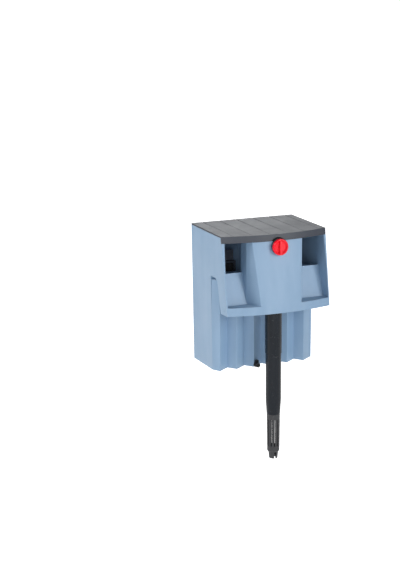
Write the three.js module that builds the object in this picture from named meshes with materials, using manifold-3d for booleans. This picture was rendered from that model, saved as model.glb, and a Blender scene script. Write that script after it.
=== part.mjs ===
// Hang-on-back aquarium filter.
// The filter hangs by the ceiling of its rim slot on the top edge of a tank's wall.
// Frame: origin on that ceiling, X along the wall, Y away from the water, Z up. Millimetres.
import * as THREE from 'three';
import { mergeVertices } from 'three/addons/utils/BufferGeometryUtils.js';
import Module from 'manifold-3d';

const wasm = await Module();
wasm.setup();

// ---------------------------------------------------------------- driving dimensions
const HALF_WIDTH = 80;        // housing, half its width at the lid
const DRAFT = 0.009;          // inward taper of the sides, mm per mm of height
const LID_TOP = 63.9;         // lid's top face at the back
const LID_FALL = 0.0223;      // lid falls towards the front, mm per mm
const CASE_BOTTOM = -136.5;
const CASE_BACK = 74.8;
const CASE_FRONT = 7.8;       // flat part of the wall that stands behind the glass
const SKIRT_BOTTOM = -47;     // lower edge of the outlet box, on the water side
const SILL = -35.7;           // lip that the water runs over
const CREST = 6.5;            // top of the two spillways
const WALL = 2.4;
const GAP = 0.3;              // clearance between neighbouring pieces
const CX = -0.7;              // middle of the centre panel, tube, pump and knob
const BOW_RADIUS = 275;       // front panel, plan radius
const FRONT_LOW = -59;        // middle of the front at the outlet box's lower edge
const BOW_CENTRE = BOW_RADIUS + FRONT_LOW;
const LEAN = 0.147;           // the front leans back, mm per mm of height
const PLEAT_PITCH = 26.3;
const PLEAT_RISE = 17;        // long flank of a pleat, measured along X
const PLEAT_FIRST = -71.8;    // first ridge
const PLEAT_COUNT = 6;
const PLEAT_RIDGE = -5;       // ridges rest against the glass
const PLEAT_VALLEY = 7.5;
const PLEAT_TOP = -5;
const PANEL_TOP = 32.4;       // centre panel, half-width at the lid and at the lower lip
const PANEL_LOW = 30.1;
const CHEEK_REAR = 43;        // chute's inner cheek at the spillway
const WELL = 27;              // pump well, half-width between its two dividers
const TUBE_Y = -30.4;           // suction tube
const TUBE_R = 11.75;
const TUBE_BORE = 11.15;
const EXTENSION_R = 11;
const EXTENSION_BORE = 9.9;
const TUBE_END = -111;        // lower end of the fixed tube
const TAPER_TOP = -180.5;
const TAPER_END = -200.5;
const STRAINER_END = -267;
const PUMP_Y = 40;            // impeller axis
const MOTOR_TOP = -100;
const CROWN_Z = 44.4;         // horizontal pipe over the rim, in line with the knob
const KNOB_R = 11.5;
const KNOB_PROUD = 8.7;
const GROMMET = { x: 16, z: 45.5 };       // cable entry in the back wall
const SCREW = { x: -14.5, z: -133.6 };    // levelling screw

// ---------------------------------------------------------------- helpers
function solid(geometry) {
  const bare = geometry.index ? geometry.clone() : mergeVertices(geometry.clone());
  bare.deleteAttribute('normal');
  bare.deleteAttribute('uv');
  const merged = mergeVertices(bare, 1e-4);
  return new wasm.Manifold(new wasm.Mesh({
    numProp: 3,
    vertProperties: new Float32Array(merged.attributes.position.array),
    triVerts: new Uint32Array(merged.index.array),
  }));
}

function box(x0, x1, y0, y1, z0, z1) {
  const shape = new THREE.BoxGeometry(x1 - x0, y1 - y0, z1 - z0);
  shape.translate((x0 + x1) / 2, (y0 + y1) / 2, (z0 + z1) / 2);
  return solid(shape);
}

// Extrudes an outline: 'z' takes (x, y), 'x' takes (y, z) and 'y' takes (x, z).
function prism(outline, axis, from, to) {
  const shape = new THREE.Shape(outline.map(([a, b]) => new THREE.Vector2(a, b)));
  const geometry = new THREE.ExtrudeGeometry(shape, { depth: to - from, bevelEnabled: false });
  geometry.translate(0, 0, from);
  const turn = new THREE.Matrix4();
  if (axis === 'x') turn.set(0, 0, 1, 0, 1, 0, 0, 0, 0, 1, 0, 0, 0, 0, 0, 1);
  if (axis === 'y') turn.set(1, 0, 0, 0, 0, 0, -1, to + from, 0, 1, 0, 0, 0, 0, 0, 1);
  geometry.applyMatrix4(turn);
  return solid(geometry);
}

// Turns a closed (radius, height) outline about a vertical axis, or an axis along Y.
function turned(profile, x, y, z = 0, segments = 32, axis = 'z') {
  const points = profile.map(([r, h]) => new THREE.Vector2(r, h));
  if (THREE.ShapeUtils.area(points) < 0) points.reverse();
  const geometry = new THREE.LatheGeometry(points, segments);
  if (axis === 'z') geometry.rotateX(Math.PI / 2);
  geometry.translate(x, y, z);
  return solid(geometry);
}

const disc = (r, from, to) => [[0, from], [r, from], [r, to], [0, to]];
const ring = (inner, outer, from, to) => [
  [inner, from], [outer, from], [outer, to], [inner, to], [inner, from],
];

// A rod or ring whose section follows a round bead of radius t about radius r.
function bead(r, t, h, steps = 10) {
  const points = [];
  for (let i = 0; i <= steps; i += 1) {
    const a = (i % steps) * 2 * Math.PI / steps;
    points.push([r + t * Math.cos(a), h + t * Math.sin(a)]);
  }
  return points;
}

const union = (...parts) => parts.reduce((a, b) => a.add(b));
const cut = (body, ...tools) => tools.reduce((a, b) => a.subtract(b), body);

const leanBack = (z) => LEAN * (z - SKIRT_BOTTOM);

// Everything inside the bowed, leaning front face, set back by an inset.
function behindFront(inset) {
  const radius = (z) => BOW_RADIUS - inset - leanBack(z);
  return turned([[0, -150], [radius(-150), -150], [radius(76), 76], [0, 76]], 0, BOW_CENTRE, 0, 240);
}

const lidHeight = (y, below) => LID_TOP - below - LID_FALL * (CASE_BACK - y);
const halfWidth = (z, inset) => HALF_WIDTH - inset - DRAFT * (LID_TOP - z);

// Everything between the tapered sides, set in by an inset.
function betweenSides(inset) {
  const low = CASE_BOTTOM - 10;
  const high = LID_TOP + 10;
  return prism([
    [-halfWidth(low, inset), low], [halfWidth(low, inset), low],
    [halfWidth(high, inset), high], [-halfWidth(high, inset), high],
  ], 'y', -120, 120);
}

function pleatOutline(shift, back) {
  const points = [[-90, PLEAT_VALLEY + shift]];
  for (let i = 0; i < PLEAT_COUNT; i += 1) {
    const ridge = PLEAT_FIRST + i * PLEAT_PITCH;
    if (i === 0) points.push([ridge - (PLEAT_PITCH - PLEAT_RISE) * 0.7, PLEAT_VALLEY + shift]);
    points.push([ridge, PLEAT_RIDGE + shift]);
    points.push([ridge + PLEAT_RISE, PLEAT_VALLEY + shift]);
  }
  points.push([90, PLEAT_VALLEY + shift]);
  points.push([90, back], [-90, back]);
  return points;
}

const pieces = [];
function piece(name, body, colour, roughness, metalness = 0) {
  const mesh = body.simplify(0.01).getMesh();
  const geometry = new THREE.BufferGeometry();
  geometry.setAttribute('position', new THREE.BufferAttribute(new Float32Array(mesh.vertProperties), 3));
  geometry.setIndex(new THREE.BufferAttribute(new Uint32Array(mesh.triVerts), 1));
  geometry.computeVertexNormals();
  const material = new THREE.MeshStandardMaterial({ color: colour, roughness, metalness });
  const node = new THREE.Mesh(geometry, material);
  node.name = name;
  pieces.push(node);
}

const GREY_BLUE = 0x97acc4;
const LID_GREY = 0x6d7179;
const BLACK = 0x2b3037;
const RED = 0xd8132a;
const RUBBER = 0x1d1d1f;

// ---------------------------------------------------------------- housing
// Slot for the tank's rim: a flat ceiling, a round corner and a slanted wall on the water side.
const SLOT_CORNER = { y: -6, r: 10 };
const SLOT_FOOT = { y: -25.5, z: SKIRT_BOTTOM };
const SLOT_CENTRE_Y = -16.5;   // the wall stands upright behind the suction tube

function slotOutline(inset) {
  const r = SLOT_CORNER.r + inset;
  const arc = [];
  for (let i = 0; i <= 5; i += 1) {
    const a = Math.PI / 2 + i * Math.PI / 10;
    arc.push([SLOT_CORNER.y + r * Math.cos(a), -SLOT_CORNER.r + r * Math.sin(a)]);
  }
  return [...arc, [SLOT_FOOT.y - inset, SLOT_FOOT.z]];
}

// The centre panel widens from the lower lip to the lid.
function centrePanel() {
  const spread = (PANEL_TOP - PANEL_LOW) / (52 - SILL);
  const half = (z) => PANEL_LOW + spread * (z - SILL);
  return prism([
    [CX - half(-60), -60], [CX + half(-60), -60], [CX + half(95), 95], [CX - half(95), 95],
  ], 'y', -80, -40);
}

function housing() {
  const side = [
    [CASE_BACK, CASE_BOTTOM], [CASE_BACK, lidHeight(CASE_BACK, 2.3)], [-75, lidHeight(-75, 2.3)],
    [-75, SKIRT_BOTTOM], ...slotOutline(0).reverse(), [CASE_FRONT, 0], [CASE_FRONT, CASE_BOTTOM],
  ];
  let body = prism(side, 'x', -90, 90);
  const pleats = prism(pleatOutline(0, 20), 'z', CASE_BOTTOM, PLEAT_TOP);
  body = union(body, pleats);
  body = union(body, prism([
    [SLOT_CENTRE_Y, SKIRT_BOTTOM], [SLOT_CENTRE_Y, 1], [-30, 1], [-30, SKIRT_BOTTOM],
  ], 'x', CX - PANEL_LOW, CX + PANEL_LOW));
  body = body.intersect(betweenSides(0)).intersect(behindFront(0));

  // Room in the case: pleated below, plain above, open under the lid.
  const inner = betweenSides(WALL);
  const skin = behindFront(WALL);
  const low = prism(pleatOutline(3.2, CASE_BACK - WALL), 'z', CASE_BOTTOM + 2.6, PLEAT_TOP - 2.6);
  const high = box(-90, 90, CASE_FRONT + 2.6, CASE_BACK - WALL, PLEAT_TOP - 2.7, 90);
  const over = box(-90, 90, -16, CASE_FRONT + 3, 2.6, 90);
  body = cut(body, union(low, high, over).intersect(inner));

  // Two chutes: plan narrows towards the spillway, whose face slopes to the lip.
  const spill = [[-90, SILL], [-33.2, SILL], [-18, CREST], [-15.5, CREST], [-15.5, 90], [-90, 90]];
  const chuteRun = prism(spill, 'x', -90, 90);
  const thin = betweenSides(1.5);
  for (const s of [-1, 1]) {
    const plan = [
      [CX + s * PANEL_LOW, -80], [CX + s * PANEL_LOW, -57],
      [s * CHEEK_REAR + CX / 2, -32], [s * CHEEK_REAR + CX / 2, -15],
      [s * 75.5, -15], [s * 76, -32], [s * 79, -44], [s * 79, -80],
    ];
    const ordered = s > 0 ? plan : plan.reverse();
    const chute = cut(prism(ordered, 'z', SILL - 1, 90), centrePanel());
    body = cut(body, chute.intersect(chuteRun).intersect(thin));
    // The spillway is cored out from below and leaves a lip around its foot.
    const core = prism([
      [-90, SKIRT_BOTTOM - 1], [-28.2, SKIRT_BOTTOM - 1], [-20.6, -17], [-22.5, -17],
      [-30.9, SILL - 3], [-90, SILL - 3],
    ], 'x', s > 0 ? CX + 32.5 : -90, s > 0 ? 90 : CX - 32.5);
    body = cut(body, core.intersect(skin).intersect(betweenSides(WALL)));
  }

  // Centre box: holds the riser and the regulator, open to the pump well at the back.
  const boxPlan = [
    [CX - PANEL_LOW + WALL, -70], [CX + PANEL_LOW - WALL, -70], [CX + PANEL_LOW - WALL, -55],
    [CX / 2 + CHEEK_REAR - WALL, -32], [CX / 2 + CHEEK_REAR - WALL, -14], [CX / 2 - CHEEK_REAR + WALL, -14],
    [CX / 2 - CHEEK_REAR + WALL, -32], [CX - PANEL_LOW + WALL, -55],
  ];
  const boxSide = [
    [-90, SKIRT_BOTTOM + 2.4], [-37.5, SKIRT_BOTTOM + 2.4], [-18.5, 4.5], [-14, 4.5], [-14, 90], [-90, 90],
  ];
  const roomy = prism(boxPlan, 'z', SKIRT_BOTTOM + 2.4, 90).intersect(prism(boxSide, 'x', -90, 90));
  const riserWell = box(CX - 24, CX + 24, -48, SLOT_CENTRE_Y - 2.1, SKIRT_BOTTOM + 2.4, 6);
  body = cut(body, union(roomy, riserWell).intersect(skin));
  body = cut(body, turned(disc(TUBE_R + 0.35, -60, 4.8), CX, TUBE_Y));

  // Rebate for the lid's fascia along the top of the front.
  const rebate = cut(box(-90, 90, -90, 0, 52, 90), behindFront(2.8));
  body = cut(body, rebate);

  // Dividers of the pump well, with a port low in each for the pump's delivery.
  for (const s of [-1, 1]) {
    const x0 = s * WELL - 1;
    const plate = prism([
      [9, 1.3], [-14.2, 1.3], [-14.2, 48], [CASE_BACK - 1, 52], [CASE_BACK - 1, CASE_BOTTOM + 1],
      [9, CASE_BOTTOM + 1],
    ], 'x', x0, x0 + 2);
    body = union(body, plate);
    body = cut(body, box(x0 - 1, x0 + 3, 46, 66, -96, -72));
    const cheek = s * CHEEK_REAR + CX / 2;
    const [x1, x2] = s > 0 ? [WELL, cheek] : [cheek, -WELL];
    body = union(body, box(x1, x2, -17, -13, 1.8, 46));
  }

  // Front hole for the regulator, cable notch at the back, and the levelling screw's blind boss.
  body = cut(body, turned(disc(8.2, -80, -36), CX, 0, CROWN_Z, 40, 'y'));
  body = cut(body, turned(disc(6.2, CASE_BACK - 10, CASE_BACK + 5), GROMMET.x, 0, GROMMET.z, 24, 'y'));
  const backing = turned(disc(7.2, -6, 3.6), SCREW.x, 0, SCREW.z, 24, 'y').intersect(pleats);
  const boss = cut(
    turned(disc(3.8, 0, 20), SCREW.x, 0, SCREW.z, 24, 'y'),
    box(-90, 90, -20, 40, CASE_BOTTOM - 20, CASE_BOTTOM),
  );
  body = union(body, backing, boss);
  body = cut(body, turned(disc(1.8, -20, 18), SCREW.x, 0, SCREW.z, 20, 'y'));
  body = cut(body, turned(disc(5.2, -20, 1.2), SCREW.x, 0, SCREW.z, 24, 'y'));
  return body;
}
piece('housing', housing(), GREY_BLUE, 0.5);

// ---------------------------------------------------------------- lid
function lid() {
  const plate = prism([
    [CASE_BACK, lidHeight(CASE_BACK, 0)], [-75, lidHeight(-75, 0)],
    [-75, lidHeight(-75, 2)], [CASE_BACK, lidHeight(CASE_BACK, 2)],
  ], 'x', -90, 90);
  const front = prism([
    [-75, lidHeight(-75, 1)], [-75, 52.3], [-20, 52.3], [-20, lidHeight(-20, 1)],
  ], 'x', -90, 90);
  const fascia = cut(front, behindFront(WALL));
  let body = union(plate, fascia).intersect(betweenSides(0)).intersect(behindFront(0));
  const rimTop = 60.8;
  const rim = cut(
    box(-90, 90, -10, CASE_BACK - WALL - 0.5, 55.5, rimTop).intersect(betweenSides(WALL + 0.6)),
    box(-90, 90, -20, CASE_BACK - WALL - 2.1, 50, 70).intersect(betweenSides(WALL + 2.2)),
  );
  body = union(body, rim);
  for (let i = 0; i < 6; i += 1) {
    const x = -63 + i * PLEAT_PITCH;
    const groove = prism([[x - 0.9, LID_TOP + 1], [x, LID_TOP - 3.6], [x + 0.9, LID_TOP + 1]], 'y', -100, 100);
    const slice = prism([
      [-90, lidHeight(-90, 0.7)], [CASE_BACK + 1, lidHeight(CASE_BACK + 1, 0.7)], [CASE_BACK + 1, 80], [-90, 80],
    ], 'x', -90, 90);
    body = cut(body, groove.intersect(slice));
  }
  return cut(body, turned(disc(KNOB_R + 1.1, -90, -30), CX, 0, CROWN_Z, 40, 'y'));
}
piece('lid', lid(), LID_GREY, 0.55);

// ---------------------------------------------------------------- regulator
const PANEL_Y = FRONT_LOW + leanBack(CROWN_Z);      // face of the centre panel at the knob
const KNOB_FRONT = PANEL_Y - KNOB_PROUD;

const COLLAR_FRONT = PANEL_Y - 3.3;
const SEAL_Y = PANEL_Y + 1.4;
// A wedge-shaped flange on the leaning panel, and a barrel through it with a seal groove.
piece('regulator_collar', cut(
  union(
    cut(turned(ring(5.2, 11.2, COLLAR_FRONT, PANEL_Y + 6), CX, 0, CROWN_Z, 40, 'y'), behindFront(-GAP)),
    turned(ring(5.2, 7.9, COLLAR_FRONT, PANEL_Y + 3.9), CX, 0, CROWN_Z, 40, 'y'),
  ),
  turned(disc(7.2, SEAL_Y - 1.2, SEAL_Y + 1.2), CX, 0, CROWN_Z, 40, 'y'),
), BLACK, 0.45);

function knob() {
  const face = KNOB_FRONT;
  const bowl = turned([
    [0, face + 2.2], [KNOB_R - 2.6, face + 2.2], [KNOB_R - 1.8, face + 0.6], [KNOB_R - 1, face],
    [KNOB_R - 0.3, face + 0.4], [KNOB_R, face + 1.4], [KNOB_R, face + 4.2], [KNOB_R - 1.2, face + 5],
    [0, face + 5],
  ], CX, 0, CROWN_Z, 40, 'y');
  const grip = box(CX - 1.7, CX + 1.7, face - 0.6, face + 3, CROWN_Z - 9, CROWN_Z + 9);
  const socket = box(CX - 1.9, CX + 1.9, face + 3, face + 6, CROWN_Z - 1.9, CROWN_Z + 1.9);
  return cut(union(bowl, grip), socket);
}
piece('flow_knob', knob(), RED, 0.35);

// Spindle with a square end for the knob, and the sleeve that closes the riser's port.
const SLEEVE_FRONT = PANEL_Y + 6.9;
piece('valve_drum', cut(union(
  box(CX - 1.6, CX + 1.6, KNOB_FRONT + 3.3, PANEL_Y, CROWN_Z - 1.6, CROWN_Z + 1.6),
  turned(disc(4.85, PANEL_Y - 3, SLEEVE_FRONT + 1), CX, 0, CROWN_Z, 24, 'y'),
  turned([
    [0, SLEEVE_FRONT], [8.6, SLEEVE_FRONT], [8.6, TUBE_Y + 11], [6.9, TUBE_Y + 11],
    [6.9, SLEEVE_FRONT + 1.2], [0, SLEEVE_FRONT + 1.2],
  ], CX, 0, CROWN_Z, 32, 'y'),
), box(CX - 6.6, CX + 6.6, TUBE_Y - 6.3, TUBE_Y + 6.8, CROWN_Z - 12, CROWN_Z - 2)), BLACK, 0.5);

piece('spindle_seal', turned(bead(6.05, 0.95, SEAL_Y, 10), CX, 0, CROWN_Z, 24, 'y'), RUBBER, 0.8);

// ---------------------------------------------------------------- intake
// Inverted U in two pieces: the regulator's housing with the tube's socket, and a bent pipe.
const LEG_R = 9.6;
const LEG_BORE = 8.2;
const SOCKET_LOW = 5.5;
const JOIN_Y = TUBE_Y + 14;
function regulatorHousing() {
  const front = SLEEVE_FRONT - 2.4;
  return cut(
    union(
      turned(disc(10.8, front, JOIN_Y + 8), CX, 0, CROWN_Z, 32, 'y'),
      turned(disc(14.1, SOCKET_LOW, 24), CX, TUBE_Y),
      turned(disc(10, 22, CROWN_Z), CX, TUBE_Y),
    ),
    turned(disc(8.75, front + 2.2, JOIN_Y - 2), CX, 0, CROWN_Z, 32, 'y'),
    turned(disc(LEG_BORE - 0.2, JOIN_Y - 4, JOIN_Y + 9), CX, 0, CROWN_Z, 32, 'y'),
    turned(disc(LEG_R + GAP, JOIN_Y, JOIN_Y + 9), CX, 0, CROWN_Z, 32, 'y'),
    turned(disc(5.2, front - 1, front + 4), CX, 0, CROWN_Z, 24, 'y'),
    turned(disc(TUBE_R + 0.3, SOCKET_LOW - 1, 21), CX, TUBE_Y),
    turned(disc(13, SOCKET_LOW - 1, 9.2), CX, TUBE_Y),
    turned(disc(6.2, 20, CROWN_Z), CX, TUBE_Y),
  );
}
piece('regulator_housing', regulatorHousing(), BLACK, 0.45);

function bentPipe(radius, low, start) {
  const bend = new THREE.SphereGeometry(radius, 32, 16);
  bend.translate(CX, PUMP_Y, CROWN_Z);
  return union(
    turned(disc(radius, start, PUMP_Y), CX, 0, CROWN_Z, 32, 'y'),
    turned(disc(radius, low, CROWN_Z), CX, PUMP_Y),
    solid(bend),
  );
}
piece('crossover_pipe', cut(
  bentPipe(LEG_R, -82, JOIN_Y + GAP),
  bentPipe(LEG_BORE, -83, JOIN_Y - 1),
), BLACK, 0.45);

piece('tube_seal', turned([
  [TUBE_R + 0.2, 5.8], [12.75, 5.8], [12.75, 8.9], [TUBE_R + 0.2, 8.9], [TUBE_R + 0.2, 5.8],
], CX, TUBE_Y), RUBBER, 0.8);

piece('suction_tube', turned([
  [TUBE_BORE, TUBE_END], [TUBE_R - 0.4, TUBE_END], [TUBE_R, TUBE_END + 0.6], [TUBE_R, 19.6],
  [TUBE_R - 0.6, 20.4], [TUBE_BORE, 20.4], [TUBE_BORE, TUBE_END],
], CX, TUBE_Y), BLACK, 0.3);

const EXTENSION_TOP = -99;
piece('extension_tube', turned([
  [EXTENSION_BORE, EXTENSION_TOP], [EXTENSION_BORE, TAPER_TOP], [8.35, TAPER_END],
  [9.6, TAPER_END], [EXTENSION_R, TAPER_TOP], [EXTENSION_R, EXTENSION_TOP], [EXTENSION_BORE, EXTENSION_TOP],
], CX, TUBE_Y), BLACK, 0.4);

// Slotted strainer, with a spigot inside the tube's neck and two prongs at its foot.
function strainer() {
  const foot = STRAINER_END + 10;
  let body = turned([
    [6.6, TAPER_END + 7], [8.05, TAPER_END + 7], [8.05, TAPER_END - GAP], [9.5, TAPER_END - GAP],
    [8.9, foot + 1.5], [7.8, foot], [0, foot], [0, foot + 2], [7.4, foot + 2.4],
    [7.8, TAPER_END - 3], [6.6, TAPER_END - 1], [6.6, TAPER_END + 7],
  ], CX, TUBE_Y);
  for (let i = 0; i < 12; i += 1) {
    const a = (i + 0.5) * Math.PI / 6;
    const slot = new THREE.BoxGeometry(4, 1.7, 40);
    slot.translate(8.8, 0, TAPER_END - 28);
    slot.rotateZ(a);
    slot.translate(CX, TUBE_Y, 0);
    body = cut(body, solid(slot));
  }
  const prongs = cut(
    turned([[3.8, STRAINER_END], [6.2, STRAINER_END], [7.2, foot + 0.5], [3.8, foot + 0.5],
      [3.8, STRAINER_END]], CX, TUBE_Y, 0, 24),
    box(CX - 1.5, CX + 1.5, TUBE_Y - 10, TUBE_Y + 10, STRAINER_END - 1, foot),
  );
  return union(body, prongs);
}
piece('strainer', strainer(), BLACK, 0.45);

// ---------------------------------------------------------------- pump
const FLOOR = CASE_BOTTOM + 2.6;
piece('pump_motor', cut(
  union(
    box(CX - 21, CX + 21, 20.6, 66, FLOOR + GAP, MOTOR_TOP - 4),
    turned(disc(19.5, MOTOR_TOP - 6, MOTOR_TOP), CX, PUMP_Y),
  ),
  turned(disc(8.7, MOTOR_TOP - 29, MOTOR_TOP + 1), CX, PUMP_Y),
  turned(disc(2.9, MOTOR_TOP - 32, MOTOR_TOP - 20), CX, PUMP_Y, 0, 20),
  turned(ring(14.4, 17.2, MOTOR_TOP - 1.4, MOTOR_TOP + 1), CX, PUMP_Y),
), BLACK, 0.6);

piece('motor_gland', cut(
  turned([[0, 66 + GAP], [5.4, 66 + GAP], [5.4, 69], [3.6, 72], [0, 72]], CX + 12, 0, -117, 20, 'y'),
  turned(disc(2.4, 67.5, 80), CX + 12, 0, -117, 16, 'y'),
), RUBBER, 0.8);

piece('cable_grommet', turned([
  [3, 70.9], [8.4, 70.9], [8.4, 72.1], [5.9, 72.1], [5.9, 75.1], [8.2, 75.1], [7.4, 76.6], [3, 76.6], [3, 70.9],
], GROMMET.x, 0, GROMMET.z, 24, 'y'), RUBBER, 0.8);

piece('cover_seal', turned(bead(15.8, 0.95, MOTOR_TOP - 0.3, 10), CX, PUMP_Y), RUBBER, 0.8);

function pumpCover() {
  const low = MOTOR_TOP + 0.8;
  const top = low + 14;
  let body = union(
    turned(disc(18.6, low, top), CX, PUMP_Y),
    turned(disc(12.2, top - 1, top + 10), CX, PUMP_Y),
    box(CX - 23, CX + 23, 47, 58, low + 1, low + 11),
  );
  body = cut(
    body,
    turned(disc(15, low - 1, top - 2), CX, PUMP_Y),
    box(CX - 24, CX + 24, 48.4, 56.6, low + 2.4, low + 9.6),
    turned(disc(6.8, top - 3, top + 11), CX, PUMP_Y),
    turned(disc(LEG_R + 0.3, top + 1, top + 11), CX, PUMP_Y),
  );
  const spider = union(
    box(CX - 8, CX + 8, PUMP_Y - 1, PUMP_Y + 1, top - 2.3, top - 0.3),
    turned(disc(3.6, top - 3.5, top - 0.6), CX, PUMP_Y, 0, 20),
  );
  body = union(body, spider);
  return cut(body, turned(disc(2.9, top - 5, top - 1.5), CX, PUMP_Y, 0, 20));
}
piece('pump_cover', pumpCover(), BLACK, 0.5);

const SHAFT_LOW = MOTOR_TOP - 31.2;
const SHAFT_HIGH = MOTOR_TOP + 12.6;
piece('impeller_shaft', turned(disc(1.2, SHAFT_LOW, SHAFT_HIGH), CX, PUMP_Y, 0, 20), 0xe9e6de, 0.3);
piece('lower_bush', turned(ring(1.3, 2.7, MOTOR_TOP - 31.6, MOTOR_TOP - 28.4), CX, PUMP_Y, 0, 20), RUBBER, 0.8);
piece('upper_bush', turned(ring(1.3, 2.7, MOTOR_TOP + 10.2, MOTOR_TOP + 13), CX, PUMP_Y, 0, 20), RUBBER, 0.8);

piece('rotor_magnet', turned(ring(1.6, 8.1, MOTOR_TOP - 27.6, MOTOR_TOP - 3), CX, PUMP_Y, 0, 28), 0x3c3a38, 0.5);
function impeller() {
  const low = MOTOR_TOP - 2.7;
  let body = union(
    turned(ring(1.6, 4.4, low, low + 11), CX, PUMP_Y, 0, 24),
    turned(ring(1.6, 9.5, low + 4, low + 5.4), CX, PUMP_Y, 0, 24),
  );
  for (let i = 0; i < 6; i += 1) {
    const blade = new THREE.BoxGeometry(10, 1.2, 7);
    blade.translate(8.2, 0, low + 7.4);
    blade.rotateZ(i * Math.PI / 3);
    blade.translate(CX, PUMP_Y, 0);
    body = union(body, solid(blade));
  }
  return cut(body, turned(disc(1.6, low - 1, low + 12), CX, PUMP_Y, 0, 24));
}
piece('impeller', impeller(), 0xd9dad7, 0.5);

// ---------------------------------------------------------------- filter media, one set each side
const BAY_IN = WELL + 2;
const BAY_OUT = 75;
const MEDIA_LOW = FLOOR + GAP;
function rowOfBays(side) {
  const s = side === 'left' ? -1 : 1;
  const span = (from, to) => (s < 0 ? [-to, -from] : [from, to]);
  const [x0, x1] = span(BAY_IN + GAP, BAY_OUT);
  const y0 = 34;
  const y1 = 44;
  const top = 12;

  // Frame: a rim, one crossbar and a pull tab.
  const [w0, w1] = span(BAY_IN + GAP + 3, BAY_OUT - 3);
  const [t0, t1] = span(BAY_IN + GAP, BAY_IN + 13);
  const frame = union(
    cut(
      box(x0, x1, y0, y1, MEDIA_LOW, top),
      box(w0, w1, y0 - 1, y1 + 1, MEDIA_LOW + 3, -62),
      box(w0, w1, y0 - 1, y1 + 1, -59, top - 3),
    ),
    box(t0, t1, y1 - 2.2, y1, top - 1, 27),
  );
  piece(`cartridge_frame_${side}`, frame, 0x343a46, 0.55);

  const [c0, c1] = span(BAY_IN + GAP + 3.3, BAY_OUT - 3.3);
  const floors = [[MEDIA_LOW + 3.3, -62.3], [-58.7, top - 3.3]];
  floors.forEach(([z0, z1], i) => {
    const level = i === 0 ? 'lower' : 'upper';
    piece(`carbon_pack_${level}_${side}`, box(c0, c1, y0 + 0.2, y1 - 0.2, z0, z1), 0x222222, 0.95);
  });
  piece(`fleece_pad_${side}`, box(x0 + 0.2, x1 - 0.2, y1 + GAP, y1 + 3.2, MEDIA_LOW, 9.5), 0xe8ebee, 0.95);
  piece(`sponge_${side}`, box(x0, x1 - 0.2, 14.5, y0 - GAP, MEDIA_LOW, -12), 0x2c3138, 0.95);
}
rowOfBays('left');
rowOfBays('right');

// ---------------------------------------------------------------- levelling screw
// A captive thumb wheel turns on the screw's thread and pushes the pad out against the glass.
piece('levelling_wheel', turned(ring(1.75, 4.4, -3.6, 0.2), SCREW.x, 0, SCREW.z, 24, 'y'), BLACK, 0.5);
piece('levelling_screw', turned([
  [0, -8.2], [1.5, -8.2], [1.5, 12], [1, 12.6], [0, 12.6],
], SCREW.x, 0, SCREW.z, 20, 'y'), BLACK, 0.5);
piece('levelling_pad', cut(
  turned([[0, -10.4], [3.2, -10.4], [3.2, -8.8], [2.4, -7], [0, -7]], SCREW.x, 0, SCREW.z, 24, 'y'),
  turned(disc(1.75, -8.5, -4), SCREW.x, 0, SCREW.z, 20, 'y'),
), RUBBER, 0.75);

// Bracket clipped to the pleated wall: keeps the wheel in its recess and guides the screw.
piece('wheel_bracket', cut(
  union(
    box(SCREW.x - 2.6, SCREW.x + 2.6, -6, 4, SCREW.z + 4.8, SCREW.z + 6.4),
    box(SCREW.x - 2.6, SCREW.x + 2.6, -6, -4, SCREW.z - 2.6, SCREW.z + 6.4),
  ),
  prism(pleatOutline(-GAP, 20), 'z', CASE_BOTTOM, PLEAT_TOP),
  turned(disc(1.8, -9, -2), SCREW.x, 0, SCREW.z, 20, 'y'),
), BLACK, 0.5);

const group = new THREE.Group();
pieces.forEach((node) => group.add(node));
export default group;
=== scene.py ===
import bpy
import bmesh
import math
from mathutils import Matrix, Vector, noise


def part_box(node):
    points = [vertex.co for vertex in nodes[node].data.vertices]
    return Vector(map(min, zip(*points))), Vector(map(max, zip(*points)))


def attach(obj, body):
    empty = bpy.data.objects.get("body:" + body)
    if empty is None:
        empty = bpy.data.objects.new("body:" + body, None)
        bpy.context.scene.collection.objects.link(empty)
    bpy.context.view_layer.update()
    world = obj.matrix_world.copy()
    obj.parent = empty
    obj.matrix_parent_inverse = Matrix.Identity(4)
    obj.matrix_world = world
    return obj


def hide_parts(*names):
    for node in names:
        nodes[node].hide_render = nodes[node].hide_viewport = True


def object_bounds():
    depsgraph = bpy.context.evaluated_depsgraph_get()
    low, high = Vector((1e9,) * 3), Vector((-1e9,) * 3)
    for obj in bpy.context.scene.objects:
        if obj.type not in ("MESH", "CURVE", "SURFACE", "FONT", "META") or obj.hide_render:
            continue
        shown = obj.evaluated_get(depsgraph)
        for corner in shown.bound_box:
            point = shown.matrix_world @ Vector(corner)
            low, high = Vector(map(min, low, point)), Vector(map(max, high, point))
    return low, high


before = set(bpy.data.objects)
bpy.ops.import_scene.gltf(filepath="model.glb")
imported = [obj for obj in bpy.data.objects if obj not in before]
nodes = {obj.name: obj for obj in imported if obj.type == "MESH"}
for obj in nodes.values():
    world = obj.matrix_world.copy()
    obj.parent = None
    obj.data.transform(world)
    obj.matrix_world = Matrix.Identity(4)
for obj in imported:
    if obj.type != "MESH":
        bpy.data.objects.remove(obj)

cad_low, cad_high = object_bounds()

# ------------------------------------------------------------------ stage
# A pale seamless studio: a floor well under the hanging filter that curves up into a wall,
# and a camera a little above the filter's middle, on its left.
FLOOR_Z = cad_low.z - 0.06
BACKDROP_HALF_WIDTH = 8.0
BACKDROP_NEAR = -6.0
BACKDROP_WALL = 4.0
BACKDROP_CURVE = 1.5
CAMERA_AT = (-0.79877, -1.661925, 0.405389)
CAMERA_AZIMUTH = 22.831
CAMERA_PITCH = 12.965
CAMERA_ROLL = -0.626
CAMERA_LENS = 84.33


def turn(angle, axis):
    return Matrix.Rotation(math.radians(angle), 4, axis)


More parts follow.
